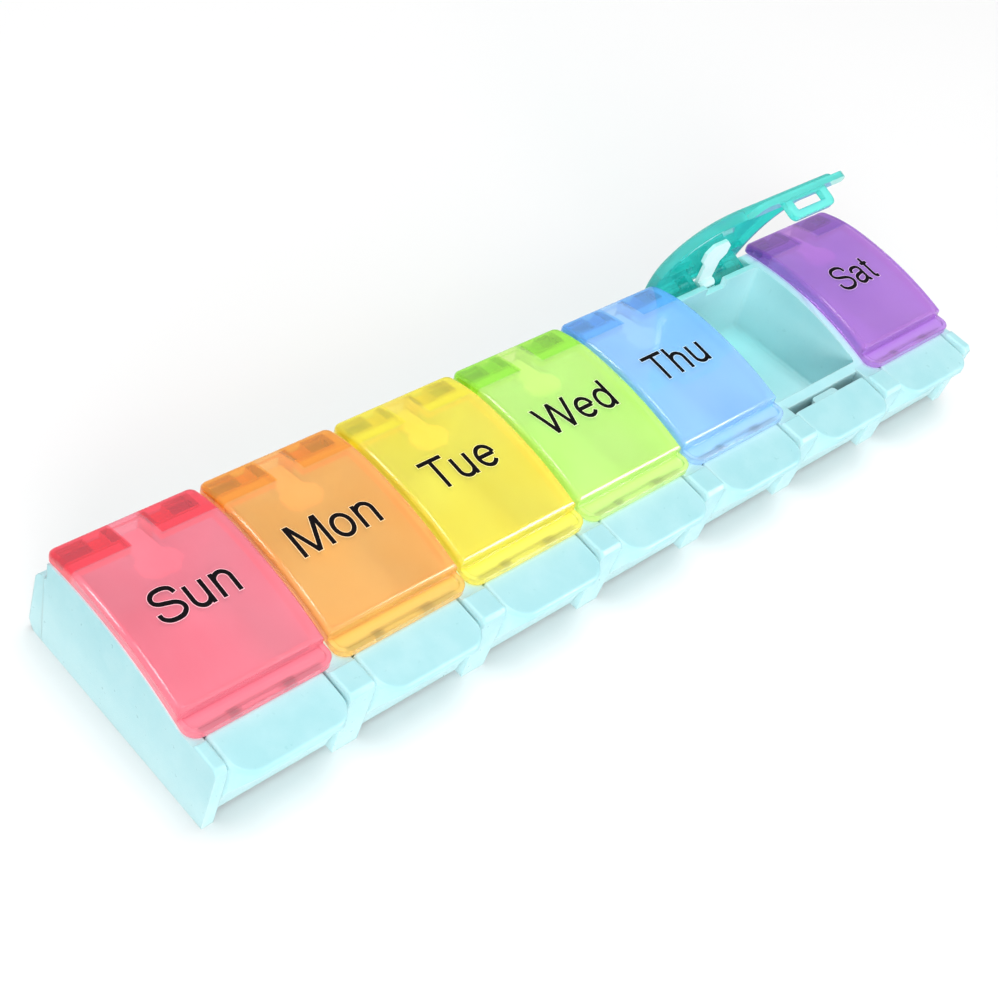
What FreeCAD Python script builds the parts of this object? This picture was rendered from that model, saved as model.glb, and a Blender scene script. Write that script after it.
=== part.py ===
import FreeCAD, Part
import math
import os
import Sketcher
from FreeCAD import Vector, Rotation, Placement

# Seven-day pill organizer: one tray with seven wells in a row, a push button in front of each
# well, an arched clear lid over it and a leaf spring at the hinge that throws the lid open.
# Millimetres. +Z up, X along the row, buttons at -Y, hinges at +Y, Z = 0 on the table.

doc = FreeCAD.newDocument("organizer")
sheet = doc.addObject("Spreadsheet::Sheet", "dims")

DIMS = [
    # the row
    ("pitch", 29.6),            # one day to the next
    ("half_length", 103.27),    # outer face of each end plate
    # arch shared by lids and wall tops: a circle along X
    ("apex_y", 12.5),
    ("apex_z", 23.8),
    ("arch_front_r", 82.0),     # in front of the apex
    ("arch_rear_r", 34.0),      # behind the apex
    ("lid_side_h", 2.65),       # crown top to lower edge of the lid's sides
    ("lid_gap", 0.35),          # lid's lower edge to wall top
    # tray
    ("well_front_y", -13.2),
    ("well_back_y", 17.3),
    ("front_wall_t", 2.0),
    ("back_wall_t", 1.4),
    ("wall_t", 2.4),            # between two wells
    ("end_wall_t", 1.37),
    ("floor_z", 4.0),
    ("well_corner_r", 0.9),
    ("sill_z", 2.0),            # floor of the trough under the buttons and of the hinge bay
    ("sill_front_y", -18.9),
    ("sill_back_y", 23.1),
    ("rib_w", 5.4),             # between two buttons
    ("end_rib_t", 2.37),
    ("rib_foot_y", -22.7),
    ("rib_nose_y", -24.1),
    ("rib_nose_z", 15.6),
    ("rib_top_z", 16.5),
    ("rib_step_y", -18.0),
    ("rib_step_z", 16.75),
    ("rib_low_z", 16.15),
    # hinge
    ("hinge_y", 20.8),
    ("hinge_z", 17.4),
    ("boss_t", 3.4),            # divider thickness where the hinge pins sit
    ("boss_back_y", 22.3),
    ("boss_r", 2.85),
    ("pin_r", 0.8),
    ("pin_hole_r", 0.9),
    ("pin_len", 1.15),
    ("pin_hole_d", 1.0),
    ("knuckle_r", 1.75),
    ("arm_in", 2.95),
    ("arm_out", 12.8),
    # lid
    ("lid_w", 28.7),
    ("lid_front_y", -17.45),
    ("crown_front_y", -13.5),
    ("lid_back_y", 23.3),
    ("lid_corner_r", 2.6),
    ("lid_back_corner_r", 1.6),
    ("slab_front_y", 16.0),      # behind this the lid is solid, except for the spring's slot
    ("lid_t", 1.2),
    ("lid_side_t", 1.3),
    ("lip_low_z", 16.4),
    ("lip_top_z", 17.75),
    ("lip_rim", 0.95),
    ("lip_dish", 0.4),
    ("crown_round", 0.9),
    # latch loop under the lip
    ("loop_w", 13.2),
    ("loop_hole_w", 9.0),
    ("loop_back_y", -15.45),
    ("loop_t", 1.3),
    ("loop_low_z", 12.1),
    ("loop_bar", 1.7),
    ("loop_hole_h", 2.1),
    # leaf spring
    ("spring_y", 20.6),
    ("spring_z", 18.4),
    ("spring_roll_r", 1.1),
    ("spring_t", 0.8),
    ("spring_w", 4.8),
    ("spring_len", 11.5),
    ("paddle_w", 7.8),
    ("paddle_len", 6.0),
    ("paddle_cut", 1.8),
    ("spring_tilt", 10.4),
    ("post_w", 4.8),
    ("post_back_y", 22.3),
    ("post_z", 18.1),
    ("post_groove_r", 1.3),
    ("notch_w", 6.4),
    ("notch_z", 18.6),
    # open pose of the Friday lid and its spring
    ("open_deg", 68.5),
    ("spring_open_deg", 74.0),
    # button
    ("button_w", 23.4),
    ("shelf_back_y", -17.3),
    ("shelf_back_z", 16.2),
    ("shelf_front_y", -26.9),
    ("shelf_front_z", 15.2),
    ("shelf_corner_r", 4.5),
    ("shelf_t", 1.9),
    ("shelf_round", 0.8),
    ("button_low_z", 0.9),
    ("button_side_low_z", 2.6),
    ("button_side_y", -19.5),
    ("scoop_y", -55.17),        # axis of the hollow front face
    ("scoop_z", -6.19),
    ("scoop_r", 34.6),
    ("button_t", 1.6),
    ("pivot_y", -17.6),
    ("pivot_z", 4.5),
    ("pivot_r", 0.9),
    ("pivot_boss_r", 1.8),
    ("pivot_len", 1.05),
    ("pivot_hole_r", 1.0),
    ("pivot_hole_d", 0.9),
    ("tab_w", 7.8),
    ("tab_back_y", -15.5),
    ("tab_low_z", 14.1),
    ("tab_t", 1.1),
    ("tab_corner_r", 1.0),
    # rear rail
    ("rail_front_y", 23.1),
    ("rail_back_y", 26.85),
    ("rail_top_z", 15.9),
    ("rail_foot_y", 25.4),
    ("rail_low_z", 2.2),
    ("rail_lean", 1.4),         # the back face leans in by this much
    ("rail_lean_z", 14.0),
    ("rail_round", 0.5),
    ("peg_r", 1.0),
    ("peg_hole_r", 1.1),
    ("peg_len", 2.4),
    ("peg_z", 8.0),
]
for n, (alias, value) in enumerate(DIMS, 1):
    sheet.set("A%d" % n, alias)
    sheet.set("B%d" % n, str(value))
    sheet.setAlias("B%d" % n, alias)
doc.recompute()
D = dict(DIMS)


def ex(text):
    """Writes every dimension's name in an expression as its cell in the sheet."""
    out, word = "", ""
    for c in text + " ":
        if c.isalnum() or c == "_":
            word += c
        else:
            out += ("dims." + word if word in D else word) + c
            word = ""
    return out.strip()


def bind(obj, **props):
    for prop, text in props.items():
        obj.setExpression(prop.replace("__", "."), ex(text))
    return obj


def at(obj, x="0", y="0", z="0"):
    return bind(obj, Placement__Base__x=x, Placement__Base__y=y, Placement__Base__z=z)


def box(name, x, y, z, lx, ly, lz):
    b = doc.addObject("Part::Box", name)
    bind(b, Length=lx, Width=ly, Height=lz)
    return at(b, x, y, z)


def rod(name, x, y, z, r, length):
    """A cylinder along +X from x."""
    c = doc.addObject("Part::Cylinder", name)
    bind(c, Radius=r, Height=length)
    c.Placement = Placement(Vector(), Rotation(Vector(0, 1, 0), 90))
    return at(c, x, y, z)


def cyl_y(name, x, y, z, r, length):
    """A cylinder along -Y from y."""
    c = doc.addObject("Part::Cylinder", name)
    bind(c, Radius=r, Height=length)
    c.Placement = Placement(Vector(), Rotation(Vector(1, 0, 0), 90))
    return at(c, x, y, z)


def cut(name, base, tool):
    c = doc.addObject("Part::Cut", name)
    c.Base, c.Tool = base, tool
    return c


def fuse(name, *shapes):
    f = doc.addObject("Part::MultiFuse", name)
    f.Shapes = list(shapes)
    f.Refine = True
    return f


def common(name, *shapes):
    f = doc.addObject("Part::MultiCommon", name)
    f.Shapes = list(shapes)
    return f


def prism(name, points, x, length):
    """A closed outline in (y, z), each corner held to the sheet, drawn out along +X from x."""
    sk = doc.addObject("Sketcher::SketchObject", name + "_outline")
    sk.Placement = Placement(Vector(), Rotation(Vector(1, 1, 1), 120))
    val = [(num(a), num(b)) for a, b in points]
    n = len(points)
    for i in range(n):
        a, b = val[i], val[(i + 1) % n]
        sk.addGeometry(Part.LineSegment(Vector(a[0], a[1], 0), Vector(b[0], b[1], 0)), False)
    for i in range(n):
        sk.addConstraint(Sketcher.Constraint("Coincident", i, 2, (i + 1) % n, 1))
    for i, (a, b) in enumerate(points):
        k = sk.addConstraint(Sketcher.Constraint("DistanceX", -1, 1, i, 1, val[i][0]))
        sk.setExpression("Constraints[%d]" % k, ex(a))
        k = sk.addConstraint(Sketcher.Constraint("DistanceY", -1, 1, i, 1, val[i][1]))
        sk.setExpression("Constraints[%d]" % k, ex(b))
    bind(sk, Placement__Base__x=x)
    e = doc.addObject("Part::Extrusion", name)
    e.Base, e.DirMode, e.Dir, e.Solid = sk, "Custom", Vector(1, 0, 0), True
    bind(e, LengthFwd=length)
    return e


def num(text):
    """The value of a sum of dimensions, to draw an outline before its constraints hold it."""
    total, sign, word = 0.0, 1, ""
    for c in text.replace(" ", "") + "+":
        if c in "+-" and word:
            total += sign * (D[word] if word in D else float(word))
            word, sign = "", (-1 if c == "-" else 1)
        elif c == "-":
            sign = -sign
        elif c != "+":
            word += c
    return total


def rounded(name, base, radius, wanted):
    """Rounds the edges that wanted(edge) picks."""
    doc.recompute()
    f = doc.addObject("Part::Fillet", name)
    f.Base = base
    f.Edges = [
        (n, radius, radius) for n, e in enumerate(base.Shape.Edges, 1) if wanted(e)
    ]
    doc.recompute()
    if f.Shape.isNull() or not f.Shape.isValid() or not f.Shape.Solids:
        print("rounding left out:", name)
        doc.removeObject(f.Name)
        return base
    return f


def upright(e, x=None, y=None):
    v = e.Vertexes
    if len(v) != 2:
        return False
    a, b = v[0].Point, v[1].Point
    if abs(a.x - b.x) > 1e-6 or abs(a.y - b.y) > 1e-6 or abs(a.z - b.z) < 1e-6:
        return False
    return (x is None or any(abs(a.x - k) < 1e-4 for k in x)) and (
        y is None or any(abs(a.y - k) < 1e-4 for k in y)
    )


arch_axis = "apex_z - arch_front_r"
days = ["sun", "mon", "tue", "wed", "thu", "fri", "sat"]


def centre(k):
    return "%d * pitch" % (k - 3)


# ---------------------------------------------------------------- tray
# one long block under the arch, from the front wall to the back wall
block = box("tray_block", "-half_length", "well_front_y - front_wall_t", "0",
            "2 * half_length", "well_back_y + back_wall_t - well_front_y + front_wall_t", "apex_z")
arch = rod("tray_arch", "-half_length - 1", "apex_y", arch_axis,
           "arch_front_r - lid_side_h - lid_gap", "2 * half_length + 2")
pieces = [common("tray_body", block, arch)]
# sill in front, floor of the hinge bay behind
pieces.append(box("tray_sill", "-half_length", "sill_front_y", "0", "2 * half_length",
                  "well_front_y - front_wall_t - sill_front_y + 0.5", "sill_z"))
pieces.append(box("tray_back_floor", "-half_length", "well_back_y + back_wall_t - 0.5", "0",
                  "2 * half_length", "sill_back_y - well_back_y - back_wall_t + 0.5", "sill_z"))
# ribs between the buttons, and the end plates' front parts
rib_outline = [
    ("well_front_y - 1", "0"),
    ("rib_foot_y", "0"),
    ("rib_nose_y", "rib_nose_z"),
    ("rib_nose_y + 0.7", "rib_top_z"),
    ("rib_step_y", "rib_step_z"),
    ("rib_step_y", "rib_low_z"),
    ("well_front_y - 1", "rib_low_z - 0.1"),
]
for k in range(8):
    if k == 0:
        x, w = "-half_length", "end_rib_t"
    elif k == 7:
        x, w = "half_length - end_rib_t", "end_rib_t"
    else:
        x, w = "%s * pitch - rib_w / 2" % (k - 3.5), "rib_w"
    rib = prism("rib_%d" % k, rib_outline, x, w)
    lo = D["rib_nose_y"]
    pieces.append(rounded("rib_%d_soft" % k, rib, 0.5, lambda e: all(
        v.Point.y < D["rib_step_y"] + 0.01 and v.Point.z > 1 for v in e.Vertexes)
        and not (abs(e.Vertexes[0].Point.y - D["rib_step_y"]) < 1e-4 and abs(e.Vertexes[-1].Point.y - D["rib_step_y"]) < 1e-4
                 and abs(e.Vertexes[0].Point.x - e.Vertexes[-1].Point.x) < 1e-4)
        and not (abs(e.Vertexes[0].Point.z - D["rib_low_z"]) < 0.2 and abs(e.Vertexes[-1].Point.z - D["rib_low_z"]) < 0.2
                 and abs(e.Vertexes[0].Point.y - D["rib_step_y"]) < 1e-4)))
# dividers of the hinge bay, rounded about the hinge axis, with the end plates' rear parts
for k in range(8):
    if k == 0:
        x, w = "-half_length", "boss_t / 2 - 0.33"
    elif k == 7:
        x, w = "half_length - boss_t / 2 + 0.33", "boss_t / 2 - 0.33"
    else:
        x, w = "%s * pitch - boss_t / 2" % (k - 3.5), "boss_t"
    # the end plates reach back to the rail, the dividers between stop short of it
    back = [("sill_back_y", "0"), ("sill_back_y", "rail_top_z - 0.3"), ("boss_back_y", "rail_top_z + 0.3")] if k in (0, 7) else [
        ("boss_back_y + 0.3", "0")]
    low = prism("divider_%d_low" % k, [
        ("well_back_y + back_wall_t - 1", "0"),
    ] + back + [
        ("boss_back_y", "hinge_z"),
        ("hinge_y", "hinge_z + boss_r"),
        ("well_back_y + back_wall_t - 1", "hinge_z + boss_r"),
    ], x, w)
    top = common("divider_%d_top" % k,
                 rod("divider_%d_rod" % k, x, "hinge_y", "hinge_z", "boss_r", w),
                 box("divider_%d_box" % k, x, "hinge_y - 3", "hinge_z - 3", w,
                     "boss_back_y - hinge_y + 3", "6.5"))
    pieces += [low, top]
# posts that carry the rolled roots of the leaf springs
for k in range(7):
    pieces.append(cut("post_%d" % k,
                      box("post_%d_block" % k, centre(k) + " - post_w / 2", "well_back_y + back_wall_t - 0.5", "0",
                          "post_w", "post_back_y - well_back_y - back_wall_t + 0.5", "post_z"),
                      rod("post_%d_groove" % k, centre(k) + " - post_w", "spring_y", "spring_z",
                          "post_groove_r", "2 * post_w")))
solid = fuse("tray_solid", *pieces)
# wells, hinge pin holes, button pivot holes, notches for the spring tongues, peg holes of the rail
tools = []
for k in range(7):
    left = "wall_t / 2" if k else "end_wall_t + 0.33"
    right = "wall_t / 2" if k < 6 else "end_wall_t + 0.33"
    well = box("well_%s" % days[k], centre(k) + " - pitch / 2 + " + left, "well_front_y", "floor_z",
               "pitch - %s - %s" % (left, right), "well_back_y - well_front_y", "apex_z")
    tools.append(rounded("well_%s_soft" % days[k], well, D["well_corner_r"],
                         lambda e: upright(e) or abs(e.CenterOfMass.z - D["floor_z"]) < 1e-6))
    tools.append(box("notch_%s" % days[k], centre(k) + " - notch_w / 2", "well_back_y - 1", "notch_z",
                     "notch_w", "back_wall_t + 2", "6"))
    tools.append(rod("pin_hole_%s_l" % days[k], centre(k) + " - pitch / 2 + boss_t / 2 - pin_hole_d",
                     "hinge_y", "hinge_z", "pin_hole_r", "pin_hole_d + 1"))
    tools.append(rod("pin_hole_%s_r" % days[k], centre(k) + " + pitch / 2 - boss_t / 2 - 1",
                     "hinge_y", "hinge_z", "pin_hole_r", "pin_hole_d + 1"))
    tools.append(rod("pivot_hole_%s_l" % days[k], centre(k) + " - pitch / 2 + rib_w / 2 - pivot_hole_d",
                     "pivot_y", "pivot_z", "pivot_hole_r", "pivot_hole_d + 1"))
    tools.append(rod("pivot_hole_%s_r" % days[k], centre(k) + " + pitch / 2 - rib_w / 2 - 1",
                     "pivot_y", "pivot_z", "pivot_hole_r", "pivot_hole_d + 1"))
for k in range(1, 7):
    tools.append(cyl_y("peg_hole_%d" % k, "%s * pitch" % (k - 3.5), "sill_back_y + 1", "peg_z",
                       "peg_hole_r", "peg_len + 1.4"))
holes = doc.addObject("Part::MultiFuse", "tray_holes")
holes.Shapes = tools
tray = cut("tray", solid, holes)
tray.Refine = True
tray.Label = "tray"
nodes = [tray]

# ---------------------------------------------------------------- rear rail
rail_bar = prism("rail_bar", [
    ("rail_front_y", "0"),
    ("rail_foot_y", "0"),
    ("rail_back_y - 0.6", "0.9"),
    ("rail_back_y", "rail_low_z"),
    ("rail_back_y - rail_lean", "rail_lean_z"),
    ("rail_back_y - rail_lean - 0.7", "rail_lean_z + 1.2"),
    ("rail_back_y - rail_lean - 1.5", "rail_top_z - 0.15"),
    ("rail_front_y", "rail_top_z"),
], "-half_length", "2 * half_length")
rail_soft = rounded("rail_soft", rail_bar, D["rail_round"], lambda e: e.CenterOfMass.z > 0.01
                    and abs(e.CenterOfMass.y - D["rail_front_y"]) > 1e-4
                    and abs(abs(e.CenterOfMass.x) - D["half_length"]) > 1e-4)
pegs = [cyl_y("peg_%d" % k, "%s * pitch" % (k - 3.5), "rail_front_y + 1", "peg_z", "peg_r", "peg_len + 1")
        for k in range(1, 7)]
rail = fuse("rear_rail", rail_soft, *pegs)
rail.Label = "rear_rail"
nodes.append(rail)


# ---------------------------------------------------------------- lids
def lid(day, k):
    """An arched shell with a flat lip, a latch loop under the lip and two hinge arms, closed about x = 0."""
    n = "lid_%s_" % day
    plate = box(n + "plan", "-lid_w / 2", "lid_front_y", "10", "lid_w", "lid_back_y - lid_front_y", "20")
    plan = rounded(n + "plan_front", plate, D["lid_corner_r"], lambda e: upright(e, y=[D["lid_front_y"]]))
    plan = rounded(n + "plan_soft", plan, D["lid_back_corner_r"], lambda e: upright(e, y=[D["lid_back_y"]]))
    front = common(n + "front", box(n + "front_box", "-lid_w", "crown_front_y", "0", "2 * lid_w",
                                    "apex_y - crown_front_y", "30"),
                   rod(n + "front_arch", "-lid_w", "apex_y", arch_axis, "arch_front_r", "2 * lid_w"))
    rear = common(n + "rear", box(n + "rear_box", "-lid_w", "apex_y", "0", "2 * lid_w", "lid_back_y - apex_y", "30"),
                  rod(n + "rear_arch", "-lid_w", "apex_y", "apex_z - arch_rear_r", "arch_rear_r", "2 * lid_w"))
    lip = box(n + "lip", "-lid_w", "lid_front_y - 1", "lip_low_z", "2 * lid_w",
              "crown_front_y - lid_front_y + 2", "lip_top_z - lip_low_z")
    outer = common(n + "outer", fuse(n + "mass", front, rear, lip), plan)
    under = box(n + "under_box", "-lid_w", "lid_front_y - 1", "0", "2 * lid_w", "lid_back_y - lid_front_y + 2", "lip_low_z")
    shell = cut(n + "trim", outer, fuse(n + "under", under, rod(
        n + "under_arch", "-lid_w", "apex_y", arch_axis, "arch_front_r - lid_side_h", "2 * lid_w")))
    top = []

    def crown_edge(e):
        c = e.CenterOfMass
        if e.Length < 1:
            return False
        pts = [v.Point for v in e.Vertexes] + [e.valueAt((e.FirstParameter + e.LastParameter) / 2)]
        for p in pts:
            r = D["arch_front_r"] if p.y < D["apex_y"] + 1e-6 else D["arch_rear_r"]
            zz = D["apex_z"] - r + math.sqrt(max(0, r * r - (p.y - D["apex_y"]) ** 2))
            if abs(p.z - zz) > 0.02 or p.y < D["crown_front_y"] - 0.01:
                return False
        return not (abs(c.y - D["apex_y"]) < 1e-3 and abs(pts[0].x - pts[1].x) > 5)

    shell = rounded(n + "soft", shell, D["crown_round"], crown_edge)
    # hollow of the crown
    hollow_box = box(n + "hollow_plan", "-lid_w / 2 + lid_side_t", "crown_front_y + lid_t", "0",
                     "lid_w - 2 * lid_side_t", "lid_back_y - crown_front_y - 2 * lid_t", "30")
    hollow_plan = rounded(n + "hollow_soft", hollow_box, 1.4, upright)
    hollow_front = common(n + "hollow_front", box(n + "hollow_front_box", "-lid_w", "crown_front_y", "0", "2 * lid_w",
                                                  "apex_y - crown_front_y", "30"),
                          rod(n + "hollow_front_arch", "-lid_w", "apex_y", arch_axis, "arch_front_r - lid_t", "2 * lid_w"))
    hollow_rear = common(n + "hollow_rear", box(n + "hollow_rear_box", "-lid_w", "apex_y", "0", "2 * lid_w",
                                                "lid_back_y - apex_y", "30"),
                         rod(n + "hollow_rear_arch", "-lid_w", "apex_y", "apex_z - arch_rear_r", "arch_rear_r - lid_t",
                             "2 * lid_w"))
    room = common(n + "room", fuse(n + "hollow_mass", hollow_front, hollow_rear), hollow_plan)
    slab_l = box(n + "slab_l", "-lid_w", "slab_front_y", "0", "lid_w - arm_in", "20", "40")
    slab_r = box(n + "slab_r", "arm_in", "slab_front_y", "0", "lid_w", "20", "40")
    hollow = cut(n + "hollow", room, fuse(n + "slabs", slab_l, slab_r))
    # shallow dish in the lip, which leaves a raised rim
    dish_box = box(n + "dish", "-lid_w / 2 + lip_rim", "lid_front_y + lip_rim", "lip_top_z - lip_dish",
                   "lid_w - 2 * lip_rim", "crown_front_y - lid_front_y - lip_rim", "5")
    dish = rounded(n + "dish_soft", dish_box, 1.6, lambda e: upright(e, y=[D["lid_front_y"] + D["lip_rim"]]))
    shell = cut(n + "shell", shell, fuse(n + "shell_cut", hollow, dish))
    # hinge arms, each a block behind the back wall with a small window, ending round about the hinge axis
    parts = [shell]
    for side, tag in ((-1, "l"), (1, "r")):
        x0 = "-arm_out" if side < 0 else "arm_in"
        arm = common(n + "arm_" + tag,
                     box(n + "arm_%s_box" % tag, x0, "hinge_y - knuckle_r", "hinge_z", "arm_out - arm_in",
                         "2 * knuckle_r", "10"),
                     rod(n + "arm_%s_top" % tag, "-lid_w", "apex_y", "apex_z - arch_rear_r", "arch_rear_r - 0.5", "2 * lid_w"))
        knuckle = rod(n + "knuckle_" + tag, x0, "hinge_y", "hinge_z", "knuckle_r", "arm_out - arm_in")
        block = fuse(n + "arm_%s_block" % tag, arm, knuckle)
        window = box(n + "arm_%s_window" % tag, "-arm_in - 4.8" if side < 0 else "arm_in + 1.4",
                     "hinge_y - 5", "hinge_z + 1.0", "3.4", "10", "2.3")
        parts.append(cut(n + "arm_%s_cut" % tag, block, window))
        px = "-arm_out - pin_len" if side < 0 else "arm_out - 0.2"
        parts.append(rod(n + "pin_" + tag, px, "hinge_y", "hinge_z", "pin_r", "pin_len + 0.2"))
    # latch loop
    frame = box(n + "loop_frame", "-loop_w / 2", "loop_back_y - loop_t", "loop_low_z", "loop_w", "loop_t",
                "lip_low_z - loop_low_z + 0.3")
    frame = rounded(n + "loop_soft", frame, 1.5, lambda e: abs(e.CenterOfMass.z - D["loop_low_z"]) < 1e-6
                    and abs(abs(e.CenterOfMass.x) - D["loop_w"] / 2) < 1e-6)
    hole = box(n + "loop_hole", "-loop_hole_w / 2", "loop_back_y - loop_t - 1", "loop_low_z + loop_bar",
               "loop_hole_w", "loop_t + 2", "loop_hole_h")
    hole = rounded(n + "loop_hole_soft", hole, 0.4, lambda e: abs(abs(e.CenterOfMass.x) - D["loop_hole_w"] / 2) < 1e-6
                   and e.CenterOfMass.y > D["loop_back_y"] - D["loop_t"] - 0.9 and e.CenterOfMass.y < D["loop_back_y"] + 0.9)
    parts.append(cut(n + "loop", frame, hole))
    body = fuse("lid_" + day, *parts)
    body.Label = "lid_" + day
    return body


def lay(body, k, y="0", z="0"):
    """Puts a piece modelled about x = 0 in its day's place."""
    body.setExpression("Placement.Base.x", ex(centre(k)))


def swing(body, k, py, pz, deg):
    """The same, turned up about an axis along X by deg, as when the lid stands open."""
    a = "(" + deg + ")"
    body.Placement = Placement(Vector(), Rotation(Vector(-1, 0, 0), 30))
    body.setExpression("Placement.Rotation.Angle", ex(deg))
    body.setExpression("Placement.Base.x", ex(centre(k)))
    body.setExpression("Placement.Base.y", ex("%s - (%s * cos(%s * 1 deg) + %s * sin(%s * 1 deg))" % (py, py, a, pz, a)))
    body.setExpression("Placement.Base.z", ex("%s - (%s * cos(%s * 1 deg) - %s * sin(%s * 1 deg))" % (pz, pz, a, py, a)))


for k, day in enumerate(days):
    body = lid(day, k)
    if day == "fri":
        swing(body, k, "hinge_y", "hinge_z", "open_deg")
    else:
        lay(body, k)
    nodes.append(body)

# ---------------------------------------------------------------- leaf springs
for k, day in enumerate(days):
    n = "spring_%s_" % day
    roll = rod(n + "roll", "-spring_w / 2", "spring_y", "spring_z", "spring_roll_r", "spring_w")
    # tongue and paddle lie along -Y from the top of the roll, tilted up
    strip = box(n + "strip", "-spring_w / 2", "-spring_len + 2", "spring_roll_r - spring_t", "spring_w",
                "spring_len - 2", "spring_t")
    pad = box(n + "pad", "-paddle_w / 2", "-spring_len", "spring_roll_r - spring_t", "paddle_w", "paddle_len", "spring_t")
    doc.recompute()
    pad_cut = doc.addObject("Part::Chamfer", n + "pad_cut")
    pad_cut.Base = pad
    pad_cut.Edges = [(i, D["paddle_cut"], D["paddle_cut"]) for i, e in enumerate(pad.Shape.Edges, 1) if upright(e)]
    blade = fuse(n + "blade", strip, pad_cut)
    blade.Placement = Placement(Vector(0, D["spring_y"], D["spring_z"]), Rotation(Vector(-1, 0, 0), D["spring_tilt"]))
    bind(blade, Placement__Base__y="spring_y", Placement__Base__z="spring_z")
    blade.setExpression("Placement.Rotation.Angle", ex("spring_tilt"))
    body = fuse("spring_" + day, roll, blade)
    body.Label = "spring_" + day
    if day == "fri":
        swing(body, k, "spring_y", "spring_z", "spring_open_deg")
    else:
        lay(body, k)
    nodes.append(body)


# ---------------------------------------------------------------- buttons
for k, day in enumerate(days):
    n = "button_%s_" % day
    mass = prism(n + "mass", [
        ("shelf_back_y", "button_low_z"),
        ("shelf_front_y", "button_low_z"),
        ("shelf_front_y", "shelf_front_z"),
        ("shelf_back_y", "shelf_back_z"),
    ], "-button_w / 2", "button_w")
    mass = rounded(n + "corners", mass, D["shelf_corner_r"], lambda e: upright(e, y=[D["shelf_front_y"]]))
    front = rod(n + "scoop", "-button_w", "scoop_y", "scoop_z", "scoop_r", "2 * button_w")
    mass = cut(n + "front", mass, front)
    mass = rounded(n + "soft", mass, D["shelf_round"], lambda e: all(
        v.Point.z > D["shelf_front_z"] - 0.05 for v in e.Vertexes) and e.CenterOfMass.y < D["shelf_back_y"] - 0.05)
    # room under the shelf, open behind and below
    room = cut(n + "room", prism(n + "room_mass", [
        ("shelf_back_y + 5", "0"),
        ("shelf_front_y + button_t", "0"),
        ("shelf_front_y + button_t", "shelf_front_z - shelf_t"),
        ("shelf_back_y + 5", "shelf_back_z - shelf_t"),
    ], "-button_w / 2 + button_t", "button_w - 2 * button_t"),
        rod(n + "room_scoop", "-button_w", "scoop_y", "scoop_z", "scoop_r + button_t", "2 * button_w"))
    heel = box(n + "heel", "-button_w", "button_side_y", "0", "2 * button_w", "10", "button_side_low_z")
    hull = cut(n + "hull", mass, fuse(n + "hull_cut", room, heel))
    parts = [hull]
    for side, tag in ((-1, "l"), (1, "r")):
        x0 = "-button_w / 2" if side < 0 else "button_w / 2 - button_t"
        parts.append(rod(n + "boss_" + tag, x0, "pivot_y", "pivot_z", "pivot_boss_r", "button_t"))
        x0 = "-button_w / 2 - pivot_len" if side < 0 else "button_w / 2 - button_t"
        parts.append(rod(n + "pin_" + tag, x0, "pivot_y", "pivot_z", "pivot_r", "pivot_len + button_t"))
    tab = box(n + "tab", "-tab_w / 2", "shelf_back_y - 1.5", "tab_low_z", "tab_w", "tab_back_y - shelf_back_y + 1.5", "tab_t")
    parts.append(rounded(n + "tab_soft", tab, D["tab_corner_r"], lambda e: upright(e, y=[D["tab_back_y"]])))
    body = fuse("button_" + day, *parts)
    body.Label = "button_" + day
    lay(body, k)
    nodes.append(body)

doc.recompute()
bad = [o.Name for o in doc.Objects if "Invalid" in o.State or "Error" in o.State]
os.makedirs("parts", exist_ok=True)
for o in nodes:
    s = o.Shape
    ok = not s.isNull() and s.isValid() and len(s.Solids) == 1
    if not ok:
        bad.append(o.Name + " has %d solids, valid %s" % (len(s.Solids), not s.isNull() and s.isValid()))
    s.exportStep("parts/%s.step" % o.Label)
    b = s.BoundBox
    print("%-12s %8.0f mm3  x %.2f..%.2f  y %.2f..%.2f  z %.2f..%.2f" % (
        o.Label, s.Volume, b.XMin, b.XMax, b.YMin, b.YMax, b.ZMin, b.ZMax))
if bad:
    raise SystemExit("not sound: " + ", ".join(bad))
print("pieces:", len(nodes))
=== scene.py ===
import math

import bmesh
import bpy
from mathutils import Matrix, Vector
from mathutils.bvhtree import BVHTree


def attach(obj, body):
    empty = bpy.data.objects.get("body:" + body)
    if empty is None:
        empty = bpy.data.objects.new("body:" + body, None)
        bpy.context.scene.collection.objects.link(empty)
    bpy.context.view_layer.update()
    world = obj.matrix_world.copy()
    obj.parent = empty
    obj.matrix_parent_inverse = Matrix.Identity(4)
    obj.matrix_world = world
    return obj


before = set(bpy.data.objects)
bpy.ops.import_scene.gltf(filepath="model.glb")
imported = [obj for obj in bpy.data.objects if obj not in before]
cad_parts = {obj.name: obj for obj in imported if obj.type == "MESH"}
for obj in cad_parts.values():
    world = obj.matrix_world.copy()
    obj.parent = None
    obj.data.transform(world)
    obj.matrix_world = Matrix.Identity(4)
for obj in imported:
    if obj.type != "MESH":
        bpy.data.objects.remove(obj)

bpy.context.view_layer.update()


DAYS = ["sun", "mon", "tue", "wed", "thu", "fri", "sat"]
PITCH = 0.0296
OPEN_DAY = "fri"
HINGE = Vector((0.0, 0.0208, 0.0174))
OPEN_ANGLE = math.radians(68.5)


def linear(r, g, b):
    """A display colour, 0 to 255 a channel, as the linear colour a shader takes."""
    out = []
    for c in (r, g, b):
        c = c / 255.0
        out.append(c / 12.92 if c <= 0.04045 else ((c + 0.055) / 1.055) ** 2.4)
    return (out[0], out[1], out[2], 1.0)


# ---------------------------------------------------------------- materials

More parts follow.
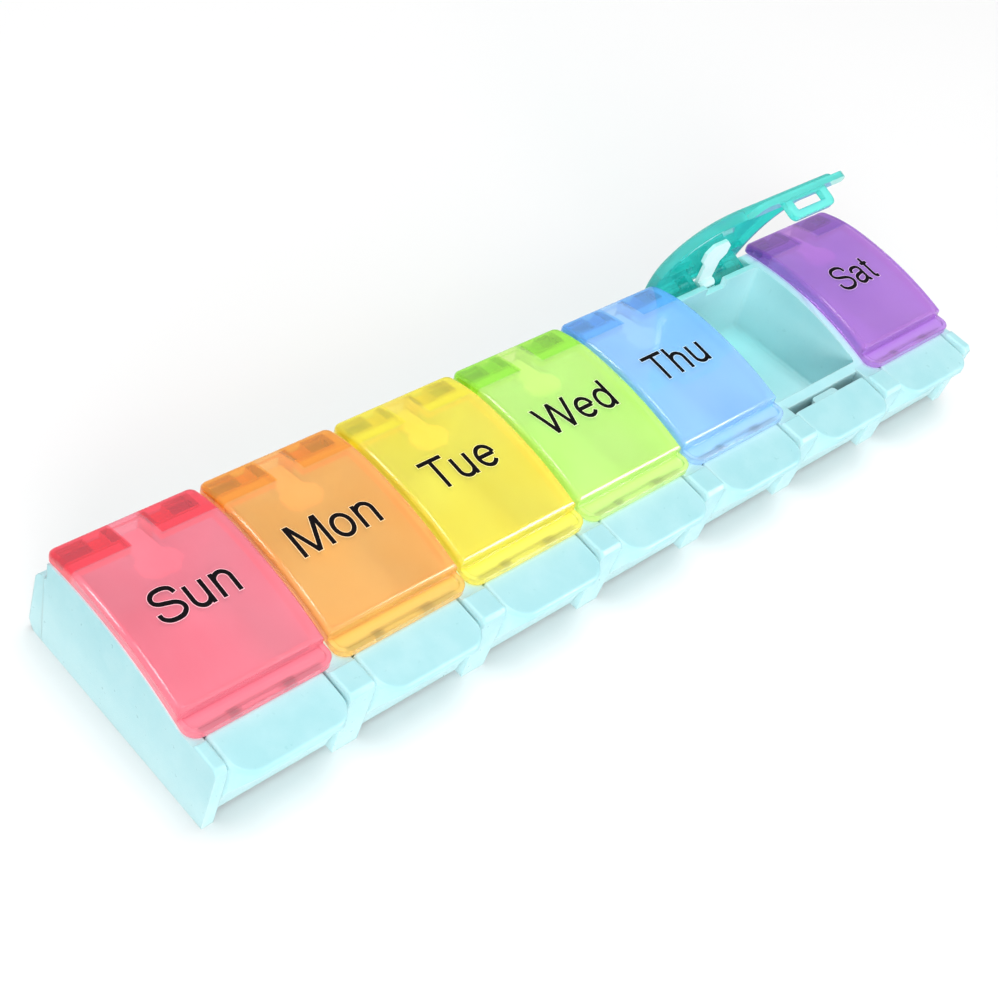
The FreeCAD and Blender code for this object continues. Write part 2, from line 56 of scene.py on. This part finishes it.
class Tree:
    """A material's node tree, with the few nodes that every plastic here uses."""

    def __init__(self, name):
        self.mat = bpy.data.materials.new(name)
        self.mat.use_nodes = True
        self.nt = self.mat.node_tree
        self.nt.nodes.clear()
        self.out = self.add("ShaderNodeOutputMaterial")
        self.shader = self.add("ShaderNodeBsdfPrincipled")
        self.link(self.shader.outputs[0], self.out.inputs["Surface"])
        self.coords = self.add("ShaderNodeTexCoord").outputs["Object"]

    def add(self, kind, **values):
        node = self.nt.nodes.new(kind)
        for key, value in values.items():
            setattr(node, key, value)
        return node

    def link(self, a, b):
        self.nt.links.new(a, b)

    def set(self, **values):
        for key, value in values.items():
            self.shader.inputs[key.replace("_", " ")].default_value = value

    def noise(self, scale, detail=2.0, rough=0.5, stretch=None):
        node = self.add("ShaderNodeTexNoise")
        node.inputs["Scale"].default_value = scale
        node.inputs["Detail"].default_value = detail
        node.inputs["Roughness"].default_value = rough
        source = self.coords
        if stretch is not None:
            mapping = self.add("ShaderNodeMapping")
            mapping.inputs["Scale"].default_value = stretch
            self.link(source, mapping.inputs["Vector"])
            source = mapping.outputs["Vector"]
        self.link(source, node.inputs["Vector"])
        return node.outputs["Fac"]

    def spread(self, value, low, high, to_low, to_high):
        node = self.add("ShaderNodeMapRange")
        node.inputs["From Min"].default_value = low
        node.inputs["From Max"].default_value = high
        node.inputs["To Min"].default_value = to_low
        node.inputs["To Max"].default_value = to_high
        self.link(value, node.inputs["Value"])
        return node.outputs["Result"]

    def mix(self, factor, a, b, blend="MIX"):
        node = self.add("ShaderNodeMix", data_type="RGBA", blend_type=blend)
        if isinstance(factor, (int, float)):
            node.inputs[0].default_value = factor
        else:
            self.link(factor, node.inputs[0])
        for value, slot in ((a, node.inputs[6]), (b, node.inputs[7])):
            if isinstance(value, tuple):
                slot.default_value = value
            else:
                self.link(value, slot)
        return node.outputs[2]

    def rim(self, radius, low=0.80, high=0.995):
        """1 along the piece's edges and 0 on its flats."""
        bevel = self.add("ShaderNodeBevel", samples=4)
        bevel.inputs["Radius"].default_value = radius
        geometry = self.add("ShaderNodeNewGeometry")
        dot = self.add("ShaderNodeVectorMath", operation="DOT_PRODUCT")
        self.link(bevel.outputs[0], dot.inputs[0])
        self.link(geometry.outputs["Normal"], dot.inputs[1])
        return self.spread(dot.outputs["Value"], low, high, 1.0, 0.0)

    def relief(self, radius, *layers):
        """Small rounded edges, then bump layers of (height, strength, distance)."""
        bevel = self.add("ShaderNodeBevel", samples=4)
        bevel.inputs["Radius"].default_value = radius
        normal = bevel.outputs[0]
        for height, strength, distance in layers:
            bump = self.add("ShaderNodeBump")
            bump.inputs["Strength"].default_value = strength
            bump.inputs["Distance"].default_value = distance
            self.link(height, bump.inputs["Height"])
            self.link(normal, bump.inputs["Normal"])
            normal = bump.outputs[0]
        self.link(normal, self.shader.inputs["Normal"])


def moulded(name, base, cooler, pale, painted_nook_light):
    """Opaque satin moulded plastic: a slow drift of tint, a fine moulded grain, a painted edge highlight that pales the
    edges,
    and a painted bounce light: a paler tone painted into nooks and cavities by an ambient-occlusion mask."""
    t = Tree(name)
    drift = t.spread(t.noise(38.0, 2.0), 0.35, 0.65, 0.0, 1.0)
    colour = t.mix(drift, base, cooler)
    cloud = t.spread(t.noise(210.0, 3.0), 0.42, 0.7, 0.0, 0.22)
    colour = t.mix(cloud, colour, pale)
    # painted edge highlight: the edges are mixed towards the pale colour, as if light caught them
    colour = t.mix(t.spread(t.rim(0.0005), 0.0, 1.0, 0.0, 0.55), colour, pale)
    # painted bounce light: nooks that ambient occlusion finds are painted paler, standing in for light bounced into
    # them
    nook = t.add("ShaderNodeAmbientOcclusion", samples=3)
    nook.inputs["Distance"].default_value = 0.020
    colour = t.mix(t.spread(nook.outputs["AO"], 0.25, 0.90, 0.85, 0.0), colour, painted_nook_light)
    t.link(colour, t.shader.inputs["Base Color"])
    gloss = t.noise(640.0, 3.0, 0.6)
    t.link(t.spread(gloss, 0.3, 0.7, 0.27, 0.42), t.shader.inputs["Roughness"])
    t.relief(0.0003, (t.noise(160.0, 1.0), 0.12, 0.00006), (t.noise(2400.0, 2.0), 0.05, 0.00002))
    t.set(IOR=1.49, Subsurface_Weight=0.18, Subsurface_Radius=(0.9, 1.1, 1.2), Subsurface_Scale=0.0012)
    return t.mat


def tinted(name, body, deep, painted_edge_glow, veil, block, lip, place, turn, clear=0.66):
    """Tinted see-through plastic: a painted edge glow, brighter colour painted along the edges for light piped to them,
    faint flow lines from the gate, small swirls in the gloss, deeper colour where it is thick, at the hinge blocks, and
    paler where it is thin, at the lip.
    Light falls through it as through a thin tinted sheet. Place and turn bring the piece back to a closed lid at x 0."""
    t = Tree(name)
    closed = t.add("ShaderNodeMapping")
    closed.inputs["Location"].default_value = place
    closed.inputs["Rotation"].default_value = (turn, 0.0, 0.0)
    t.link(t.coords, closed.inputs["Vector"])
    parts = t.add("ShaderNodeSeparateXYZ")
    t.link(closed.outputs["Vector"], parts.inputs[0])
    aside = t.add("ShaderNodeMath", operation="ABSOLUTE")
    t.link(parts.outputs["X"], aside.inputs[0])
    thick = t.add("ShaderNodeMath", operation="MULTIPLY")
    t.link(t.spread(parts.outputs["Y"], 0.0157, 0.0161, 0.0, 1.0), thick.inputs[0])
    t.link(t.spread(aside.outputs[0], 0.0028, 0.0031, 0.0, 1.0), thick.inputs[1])
    last = t.shader.outputs[0]
    for ray in ("Is Diffuse Ray", "Is Shadow Ray"):
        sheet = t.add("ShaderNodeBsdfTransparent")
        sheet.inputs["Color"].default_value = veil
        mix = t.add("ShaderNodeMixShader")
        t.link(t.add("ShaderNodeLightPath").outputs[ray], mix.inputs[0])
        t.link(last, mix.inputs[1])
        t.link(sheet.outputs[0], mix.inputs[2])
        last = mix.outputs[0]
    t.link(last, t.out.inputs["Surface"])
    drift = t.spread(t.noise(55.0, 2.0), 0.35, 0.68, 0.0, 1.0)
    colour = t.mix(drift, body, deep)
    flow = t.spread(t.noise(420.0, 3.0, 0.6, (1.0, 0.22, 1.0)), 0.40, 0.72, 0.0, 0.25)
    colour = t.mix(flow, colour, body)
    # painted edge glow: the edges are painted in the bright edge colour, standing in for light piped through the
    # plastic
    colour = t.mix(t.spread(t.rim(0.0011, 0.55, 0.99), 0.0, 1.0, 0.0, 0.75), colour, painted_edge_glow)
    colour = t.mix(t.spread(parts.outputs["Y"], -0.0132, -0.0142, 0.0, 0.8), colour, lip)
    colour = t.mix(t.spread(thick.outputs[0], 0.0, 1.0, 0.0, 0.85), colour, block)
    t.link(colour, t.shader.inputs["Base Color"])
    gloss = t.noise(900.0, 3.0, 0.6)
    t.link(t.spread(gloss, 0.3, 0.7, 0.02, 0.05), t.shader.inputs["Roughness"])
    t.relief(0.0005, (t.noise(95.0, 1.0), 0.05, 0.00005), (t.noise(2600.0, 2.0, 0.6), 0.03, 0.00001))
    t.set(IOR=1.49, Transmission_Weight=clear, Coat_Weight=0.35, Coat_Roughness=0.05)
    return t.mat


def milky(name, body, cloud):
    """Natural, unpigmented plastic: milky and waxy, with cloudier patches."""
    t = Tree(name)
    colour = t.mix(t.spread(t.noise(300.0, 3.0), 0.35, 0.7, 0.0, 1.0), body, cloud)
    t.link(colour, t.shader.inputs["Base Color"])
    t.link(t.spread(t.noise(1100.0, 3.0), 0.3, 0.7, 0.50, 0.62), t.shader.inputs["Roughness"])
    t.set(IOR=1.45)
    return t.mat


def ink(name, colour, faded, rough=(0.45, 0.60), shine=0.05):
    """Pad-printed ink: even, a little uneven in gloss, with pinholes too small to see at arm's length."""
    t = Tree(name)
    base = t.mix(t.spread(t.noise(1500.0, 3.0, 0.6), 0.4, 0.75, 0.0, 0.6), colour, faded)
    t.link(base, t.shader.inputs["Base Color"])
    t.link(t.spread(t.noise(2400.0, 2.0), 0.3, 0.7, rough[0], rough[1]), t.shader.inputs["Roughness"])
    bump = t.add("ShaderNodeBump")
    bump.inputs["Strength"].default_value = 0.15
    bump.inputs["Distance"].default_value = 0.00002
    t.link(t.noise(3000.0, 2.0), bump.inputs["Height"])
    t.link(bump.outputs[0], t.shader.inputs["Normal"])
    t.set(Specular_IOR_Level=shine)
    return t.mat


# aqua colours: base, cooler drift, pale for the random cloud and the painted edge highlight, and the paler painted
# bounce light for nooks
AQUA = moulded("aqua_plastic_detail", linear(166, 215, 220), linear(158, 211, 217), linear(197, 231, 234),
               linear(218, 246, 248))
SPRING = milky("spring_clear_detail", linear(240, 251, 251), linear(230, 249, 249))
# each lid's slot, then its body, a deeper drift, its painted edge glow (bright colour painted on the edges for light
# piped there), its thick hinge blocks and its thin lip
LID_COLOURS = {
    "sun": ("lid_pink", (255, 158, 174), (255, 146, 164), (255, 106, 132), (255, 66, 88), (255, 164, 180)),
    "mon": ("lid_orange", (255, 200, 126), (255, 190, 108), (255, 165, 46), (255, 172, 50), (255, 234, 140)),
    "tue": ("lid_yellow", (255, 238, 112), (253, 232, 94), (255, 246, 30), (255, 240, 70), (255, 252, 140)),
    "wed": ("lid_lime", (222, 250, 156), (212, 246, 138), (190, 255, 70), (172, 240, 60), (236, 255, 176)),
    "thu": ("lid_blue", (182, 220, 255), (170, 213, 255), (120, 210, 255), (118, 190, 252), (206, 234, 255)),
    "fri": ("lid_teal", (84, 228, 220), (70, 220, 214), (50, 230, 224), (50, 206, 200), (130, 244, 236)),
    "sat": ("lid_violet", (204, 148, 228), (194, 136, 222), (164, 90, 216), (152, 92, 196), (218, 174, 242)),
}
INK = ink("label_ink", (0.004, 0.003, 0.004, 1.0), (0.010, 0.008, 0.010, 1.0))
HALOS = {}

for node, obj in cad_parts.items():
    kind, _, day = node.partition("_")
    if kind == "lid":
        slot, body, deep, painted_edge_glow, block, lip = LID_COLOURS[day]
        veil = tuple(c + (255 - c) * 0.55 for c in body)
        turn = OPEN_ANGLE if day == OPEN_DAY else 0.0
        place = HINGE - Matrix.Rotation(turn, 3, "X") @ HINGE - Vector(((DAYS.index(day) - 3) * PITCH, 0, 0))
        chosen = tinted(slot + "_detail", linear(*body), linear(*deep), linear(*painted_edge_glow), linear(*veil), linear(*block),
                        linear(*lip), place, turn)
        pale = tuple(c + (255 - c) * 0.35 for c in body)
        HALOS[day] = ink("halo_" + day, linear(*pale), linear(*body), (0.25, 0.35), 0.5)
    elif kind == "spring":
        chosen = SPRING
    else:
        chosen = AQUA
    for s in obj.material_slots:
        s.material = chosen


# ---------------------------------------------------------------- day labels

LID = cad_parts["lid_wed"].data
CROWN = BVHTree.FromPolygons([v.co[:] for v in LID.vertices], [tuple(p.vertices) for p in LID.polygons])
CAP = 0.00675          # height of a capital
PEN = 0.128            # width of a stroke, as a share of CAP
BASELINE = -0.00045
# the word and where its left and right ends lie, from its lid's centre
WORDS = {
    "sun": ("Sun", -0.0079, 0.0074),
    "mon": ("Mon", -0.0096, 0.0078),
    "tue": ("Tue", -0.0090, 0.0068),
    "wed": ("Wed", -0.0101, 0.0087),
    "thu": ("Thu", -0.0086, 0.0069),
    "fri": ("Fri", -0.0060, 0.0052),
    "sat": ("Sat", -0.0066, 0.0061),
}


def arc(cx, cy, rx, ry, a, b, n=18):
    """Points of an ellipse's arc, angles in degrees, counted from +X towards +Y."""
    return [(cx + rx * math.cos(math.radians(a + (b - a) * i / n)),
             cy + ry * math.sin(math.radians(a + (b - a) * i / n))) for i in range(n + 1)]


def flowing(points, n=5):
    """A smooth line through the points."""
    out = []
    p = [points[0]] + list(points) + [points[-1]]
    for i in range(1, len(p) - 2):
        for j in range(n):
            t = j / n
            out.append(tuple(0.5 * (2 * p[i][c] + (p[i + 1][c] - p[i - 1][c]) * t
                                    + (2 * p[i - 1][c] - 5 * p[i][c] + 4 * p[i + 1][c] - p[i + 2][c]) * t * t
                                    + (3 * p[i][c] - p[i - 1][c] - 3 * p[i + 1][c] + p[i + 2][c]) * t ** 3)
                             for c in (0, 1)))
    out.append(points[-1])
    return out


def straight(a, b, n=12):
    return [(a[0] + (b[0] - a[0]) * i / n, a[1] + (b[1] - a[1]) * i / n) for i in range(n + 1)]


SLOPE = 0.05   # how far past the cap line a slanting stroke starts, before it is trimmed level
# each letter: its advance, and its strokes as centre lines with the heights they are trimmed to, or None
LETTERS = {
    "S": (0.93, [(flowing([(0.815, 0.715), (0.755, 0.865), (0.61, 0.935), (0.455, 0.947), (0.28, 0.915), (0.165, 0.80),
                           (0.165, 0.665), (0.28, 0.575), (0.47, 0.525), (0.68, 0.46), (0.80, 0.345), (0.80, 0.20),
                           (0.66, 0.082), (0.455, 0.052), (0.26, 0.085), (0.13, 0.19), (0.105, 0.325)]), None)]),
    "M": (1.16, [(straight((0.145, 0), (0.145, 1)), None), (straight((1.015, 0), (1.015, 1)), None),
                 (straight((0.155, 1 + SLOPE), (0.60, -SLOPE)), (0, 1)), (straight((1.005, 1 + SLOPE), (0.56, -SLOPE)), (0, 1))]),
    "T": (0.85, [(straight((0.02, 0.945), (0.83, 0.945)), None), (straight((0.425, 0), (0.425, 0.93)), None)]),
    "W": (1.31, [(straight((0.045, 1 + SLOPE), (0.365, -SLOPE)), (0, 1)), (straight((0.675, 1 + SLOPE), (0.325, -SLOPE)), (0, 1)),
                 (straight((0.635, 1 + SLOPE), (0.985, -SLOPE)), (0, 1)), (straight((1.265, 1 + SLOPE), (0.945, -SLOPE)), (0, 1))]),
    "F": (0.81, [(straight((0.155, 0), (0.155, 1)), None), (straight((0.15, 0.942), (0.76, 0.942)), None),
                 (straight((0.15, 0.52), (0.69, 0.52)), None)]),
    "u": (0.78, [([(0.145, 0.735), (0.145, 0.5)] + arc(0.375, 0.28, 0.23, 0.23, 180, 360) + [(0.605, 0.45)], None),
                 (straight((0.605, 0), (0.605, 0.735)), None)]),
    "n": (0.78, [(straight((0.145, 0), (0.145, 0.735)), None),
                 ([(0.145, 0.28)] + arc(0.375, 0.455, 0.23, 0.23, 180, 0) + [(0.605, 0.25), (0.605, 0)], None)]),
    "h": (0.78, [(straight((0.145, 0), (0.145, 1)), None),
                 ([(0.145, 0.28)] + arc(0.375, 0.455, 0.23, 0.23, 180, 0) + [(0.605, 0.25), (0.605, 0)], None)]),
    "o": (0.78, [(arc(0.385, 0.368, 0.268, 0.322, 0, 360, 36), None)]),
    "e": (0.78, [(arc(0.388, 0.368, 0.268, 0.322, 4, 322, 34), None), (straight((0.13, 0.376), (0.655, 0.376)), None)]),
    "d": (0.78, [(straight((0.615, 0), (0.615, 1)), None), (arc(0.365, 0.368, 0.25, 0.322, 0, 360, 36), None)]),
    "r": (0.47, [(straight((0.145, 0), (0.145, 0.735)), None),
                 ([(0.145, 0.25)] + arc(0.405, 0.42, 0.26, 0.25, 180, 90, 10) + [(0.445, 0.672)], None)]),
    "i": (0.31, [(straight((0.145, 0), (0.145, 0.735)), None), (straight((0.145, 0.865), (0.145, 1), 3), None)]),
    "a": (0.78, [(flowing([(0.115, 0.505), (0.16, 0.625), (0.27, 0.682), (0.395, 0.69), (0.515, 0.665), (0.58, 0.575), (0.585, 0.45)])
                  + straight((0.585, 0.44), (0.585, 0.18), 6) + flowing([(0.587, 0.16), (0.60, 0.07), (0.655, 0.052), (0.70, 0.058)], 4), None),
                 (flowing([(0.585, 0.45), (0.52, 0.412), (0.36, 0.388), (0.20, 0.345), (0.118, 0.25), (0.125, 0.135),
                           (0.215, 0.058), (0.335, 0.048), (0.465, 0.09), (0.56, 0.175), (0.585, 0.27)]), None)]),
    "t": (0.39, [([(0.175, 0.93), (0.175, 0.5), (0.175, 0.2)] + arc(0.285, 0.165, 0.11, 0.11, 180, 270, 6) + [(0.35, 0.056)], None),
                 (straight((0.02, 0.682), (0.345, 0.682)), None)]),
}


def ribbon(line, width, grow):
    """Left and right edges of a stroke of that width along line, its ends pushed out by grow."""
    pts = [Vector(p) for p in line]
    if grow and (pts[0] - pts[-1]).length > 1e-6:
        pts[0] = pts[0] + (pts[0] - pts[1]).normalized() * grow
        pts[-1] = pts[-1] + (pts[-1] - pts[-2]).normalized() * grow
    closed = (pts[0] - pts[-1]).length < 1e-6
    left, right = [], []
    for i, p in enumerate(pts):
        a = pts[i - 1] if i else (pts[-2] if closed else p)
        b = pts[i + 1] if i + 1 < len(pts) else (pts[1] if closed else p)
        way = (b - a).normalized()
        side = Vector((-way.y, way.x)) * width / 2
        left.append(p + side)
        right.append(p - side)
    return left, right


def word_faces(text, extra):
    """The word's strokes as quads in letter units, its left end at the first letter's ink, and its ink's width."""
    quads, pen_x, low, high = [], 0.0, 1e9, -1e9
    for letter in text:
        advance, strokes = LETTERS[letter]
        for line, trim in strokes:
            left, right = ribbon([(x + pen_x, y) for x, y in line], PEN + 2 * extra, extra)
            for i in range(len(left) - 1):
                corners4 = [left[i], left[i + 1], right[i + 1], right[i]]
                if trim:
                    corners4 = [Vector((p.x, min(max(p.y, trim[0] - extra), trim[1] + extra))) for p in trimmed(corners4, trim, extra)]
                if corners4:
                    quads.append(corners4)
            plain = ribbon([(x + pen_x, y) for x, y in line], PEN, 0)
            for p in plain[0] + plain[1]:
                if trim is None or trim[0] - 1e-6 <= p.y <= trim[1] + 1e-6:
                    low, high = min(low, p.x), max(high, p.x)
        pen_x += advance
    return quads, low, high


def trimmed(poly, trim, extra):
    """The polygon cut level at the trim heights."""
    for bound, sign in ((trim[0] - extra, 1), (trim[1] + extra, -1)):
        out = []
        for i, p in enumerate(poly):
            q = poly[(i + 1) % len(poly)]
            dp, dq = (p.y - bound) * sign, (q.y - bound) * sign
            if dp >= 0:
                out.append(p)
            if (dp >= 0) != (dq >= 0):
                out.append(p + (q - p) * (dp / (dp - dq)))
        poly = out
        if len(poly) < 3:
            return []
    return poly


def label(day):
    text, left, right = WORDS[day]
    k = DAYS.index(day)
    bm = bmesh.new()
    _, low, high = word_faces(text, 0.0)
    scale = (right - left) / (high - low)
    for layer, (extra, lift) in enumerate(((0.020, 0.000015), (0.0, 0.00004))):
        quads = word_faces(text, extra)[0]
        for i, quad in enumerate(quads):
            verts = []
            for p in quad:
                x = (p.x - low) * scale + left
                y = p.y * CAP + BASELINE
                hit = CROWN.ray_cast(Vector((x, y, 0.1)), Vector((0, 0, -1)))[0]
                v = Vector((x, y, hit.z + lift + i * 2e-8))
                if day == OPEN_DAY:
                    v = Matrix.Rotation(-OPEN_ANGLE, 3, "X") @ (v - HINGE) + HINGE
                verts.append(bm.verts.new(v + Vector(((k - 3) * PITCH, 0, 0))))
            f = bm.faces.new(verts)
            f.material_index = layer
            f.smooth = True
    bm.normal_update()
    mesh = bpy.data.meshes.new("label_" + day)
    bm.to_mesh(mesh)
    bm.free()
    up = Vector((0, 0, 1)) if day != OPEN_DAY else Matrix.Rotation(-OPEN_ANGLE, 3, "X") @ Vector((0, 0, 1))
    mesh.materials.append(HALOS[day])
    mesh.materials.append(INK)
    if sum(1 if p.normal.dot(up) > 0 else -1 for p in mesh.polygons) < 0:
        mesh.flip_normals()
    piece = bpy.data.objects.new("label_" + day, mesh)
    bpy.context.scene.collection.objects.link(piece)
    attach(piece, "lid_" + day + "_body")


for day in DAYS:
    label(day)


# ---------------------------------------------------------------- floor, light and camera

def floor():
    t = Tree("studio_floor")
    base = t.mix(t.spread(t.noise(3.0, 2.0), 0.3, 0.7, 0.0, 1.0), (0.83, 0.83, 0.83, 1.0), (0.85, 0.85, 0.85, 1.0))
    t.link(base, t.shader.inputs["Base Color"])
    t.set(Roughness=0.7, IOR=1.3)
    mesh = bpy.data.meshes.new("floor")
    s = 6.0
    mesh.from_pydata([(-s, -s, 0), (s, -s, 0), (s, s, 0), (-s, s, 0)], [], [(0, 1, 2, 3)])
    mesh.materials.append(t.mat)
    obj = bpy.data.objects.new("floor", mesh)
    bpy.context.scene.collection.objects.link(obj)


def softbox(name, place, aim, size, power, seen="both"):
    data = bpy.data.lights.new(name, "AREA")
    data.shape = "RECTANGLE"
    data.size, data.size_y = size
    data.energy = power
    obj = bpy.data.objects.new(name, data)
    obj.location = place
    way = Vector(aim) - Vector(place)
    obj.rotation_euler = way.to_track_quat("-Z", "Y").to_euler()
    obj.visible_glossy = seen != "wash"
    obj.visible_diffuse = obj.visible_transmission = seen != "glint"
    bpy.context.scene.collection.objects.link(obj)


floor()
softbox("top", (0.05, 0.0, 1.30), (0, 0, 0.01), (0.7, 0.7), 9.6, "wash")
softbox("fill", (-0.75, -1.00, 0.38), (0, 0, 0.01), (0.9, 0.6), 10.8, "wash")
softbox("glint_top", (-0.05, 0.05, 1.10), (0, 0, 0.01), (0.30, 0.30), 3.0, "glint")
softbox("glint_front", (0.85, -1.00, 0.45), (0, 0, 0.01), (0.30, 0.80), 12.0, "glint")
softbox("glint_left", (-0.72, 0.50, 0.82), (0, 0, 0.02), (0.30, 0.30), 4.0, "glint")

world = bpy.data.worlds.new("studio")
world.use_nodes = True
world.node_tree.nodes["Background"].inputs[0].default_value = (1.0, 1.0, 1.0, 1.0)
world.node_tree.nodes["Background"].inputs[1].default_value = 0.58
bpy.context.scene.world = world

camera = bpy.data.cameras.new("camera")
camera.lens = 61.21
camera.sensor_width = 36.0
camera.clip_start = 0.01
camera.clip_end = 50.0
holder = bpy.data.objects.new("camera", camera)
holder.matrix_world = Matrix((
    (0.71634, 0.36501883, -0.59465884, -0.209597),
    (-0.66454, 0.61671395, -0.42196177, -0.134576),
    (0.21271, 0.69744186, 0.68434577, 0.229145),
    (0.0, 0.0, 0.0, 1.0),
))
bpy.context.scene.collection.objects.link(holder)
bpy.context.scene.camera = holder
bpy.context.scene.view_settings.view_transform = "Standard"

bpy.context.view_layer.update()
